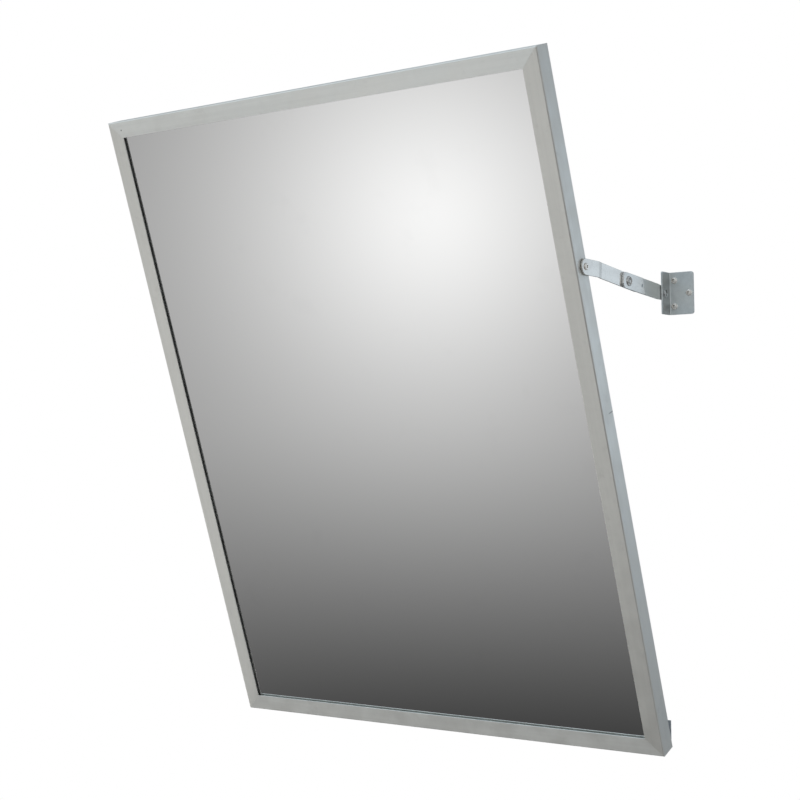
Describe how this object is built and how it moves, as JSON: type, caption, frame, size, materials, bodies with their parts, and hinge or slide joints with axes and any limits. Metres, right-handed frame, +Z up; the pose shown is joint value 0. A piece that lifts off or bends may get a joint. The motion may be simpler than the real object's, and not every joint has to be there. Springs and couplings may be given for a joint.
{
  "type": "pivot wall mirror",
  "caption": "Framed rectangular wall mirror on a bottom hinge, held tilted forward by a folding detent stay at each side.",
  "frame": {"origin": "on the wall's face, in the row of the bottom hinge's screw holes, midway across the mirror", "axes": "+X to the right as one faces the mirror, +Y into the wall, +Z up; the mirror faces -Y and is drawn open at its full tilt"},
  "size_m": [0.67, 0.2914, 0.7441],
  "materials": {
    "satin_stainless": "satin brushed stainless steel",
    "dull_stainless": "dull rolled stainless steel",
    "hinge_stainless": "rolled stainless steel",
    "galvanised": "galvanised sheet with faint spangle",
    "zinc_plated": "zinc plated, blue grey",
    "bright_fastener": "bright steel",
    "bright_washer": "plain steel washer",
    "mirror_glass": "silvered float glass",
    "black_tape": "black foam glazing tape",
    "pale_foam": "closed-cell foam sheet",
    "board": "plain support board",
    "black_rubber": "matt rubber"
  },
  "bodies": {
    "wall_side": {"hinge_wall_leaf": "hinge_stainless", "hinge_pin": "bright_fastener", "wall_bracket_left": "zinc_plated", "wall_bracket_right": "zinc_plated", "bracket_screws_left": "bright_fastener", "bracket_screws_right": "bright_fastener", "wall_pivot_rivet_left": "bright_fastener", "wall_pivot_rivet_right": "bright_fastener", "wall_pivot_washer_left": "bright_washer", "wall_pivot_washer_right": "bright_washer"},
    "mirror": {"frame_top": "satin_stainless", "frame_bottom": "satin_stainless", "frame_left": "satin_stainless", "frame_right": "satin_stainless", "corner_plates": "galvanised", "corner_rivets": "bright_fastener", "mirror_glass": "mirror_glass", "glazing_tape": "black_tape", "backing_foam": "pale_foam", "support_board": "board", "back_plate": "galvanised", "back_plate_screws": "bright_fastener", "rear_bumpers": "black_rubber", "hinge_frame_leaf": "hinge_stainless", "hinge_rivets": "bright_fastener", "pivot_screw_left": "bright_fastener", "pivot_screw_right": "bright_fastener", "pivot_washers_left": "bright_washer", "pivot_washers_right": "bright_washer", "pivot_plate_left": "galvanised", "pivot_plate_right": "galvanised", "pivot_nut_left": "bright_fastener", "pivot_nut_right": "bright_fastener"},
    "wall_stay_left": {"wall_link_left": "dull_stainless", "detent_spring_left": "satin_stainless", "detent_stud_left": "bright_fastener", "spring_rivet_left": "bright_fastener", "knuckle_rivet_left": "bright_fastener"},
    "mirror_stay_left": {"mirror_link_left": "satin_stainless", "knuckle_tail_left": "bright_fastener"},
    "wall_stay_right": {"wall_link_right": "dull_stainless", "detent_spring_right": "satin_stainless", "detent_stud_right": "bright_fastener", "spring_rivet_right": "bright_fastener", "knuckle_rivet_right": "bright_fastener"},
    "mirror_stay_right": {"mirror_link_right": "satin_stainless", "knuckle_tail_right": "bright_fastener"}
  },
  "joints": [
    {"name": "mirror_tilt", "type": "hinge", "parent": "wall_side", "child": "mirror", "pos_m": [0, -0.003, -0.013], "axis": [-1, 0, 0], "range_deg": [0, 19.1]},
    {"name": "wall_link_swing_left", "type": "hinge", "parent": "wall_side", "child": "wall_stay_left", "pos_m": [-0.30285, -0.0135, 0.4874], "axis": [1, 0, 0], "range_deg": [0, 94.49]},
    {"name": "mirror_link_swing_left", "type": "hinge", "parent": "mirror", "child": "mirror_stay_left", "pos_m": [-0.30175, -0.19224, 0.5014], "axis": [-1, 0, 0], "range_deg": [0, 66.43]},
    {"name": "wall_link_swing_right", "type": "hinge", "parent": "wall_side", "child": "wall_stay_right", "pos_m": [0.30285, -0.0135, 0.4874], "axis": [1, 0, 0], "range_deg": [0, 94.49]},
    {"name": "mirror_link_swing_right", "type": "hinge", "parent": "mirror", "child": "mirror_stay_right", "pos_m": [0.30175, -0.19224, 0.5014], "axis": [-1, 0, 0], "range_deg": [0, 66.43]}
  ],
  "couplings": [
    {"joint": "wall_link_swing_left", "follows": "mirror_tilt", "ratio": 4.9465},
    {"joint": "mirror_link_swing_left", "follows": "mirror_tilt", "ratio": 3.4776},
    {"joint": "wall_link_swing_right", "follows": "mirror_tilt", "ratio": 4.9465},
    {"joint": "mirror_link_swing_right", "follows": "mirror_tilt", "ratio": 3.4776}
  ]
}
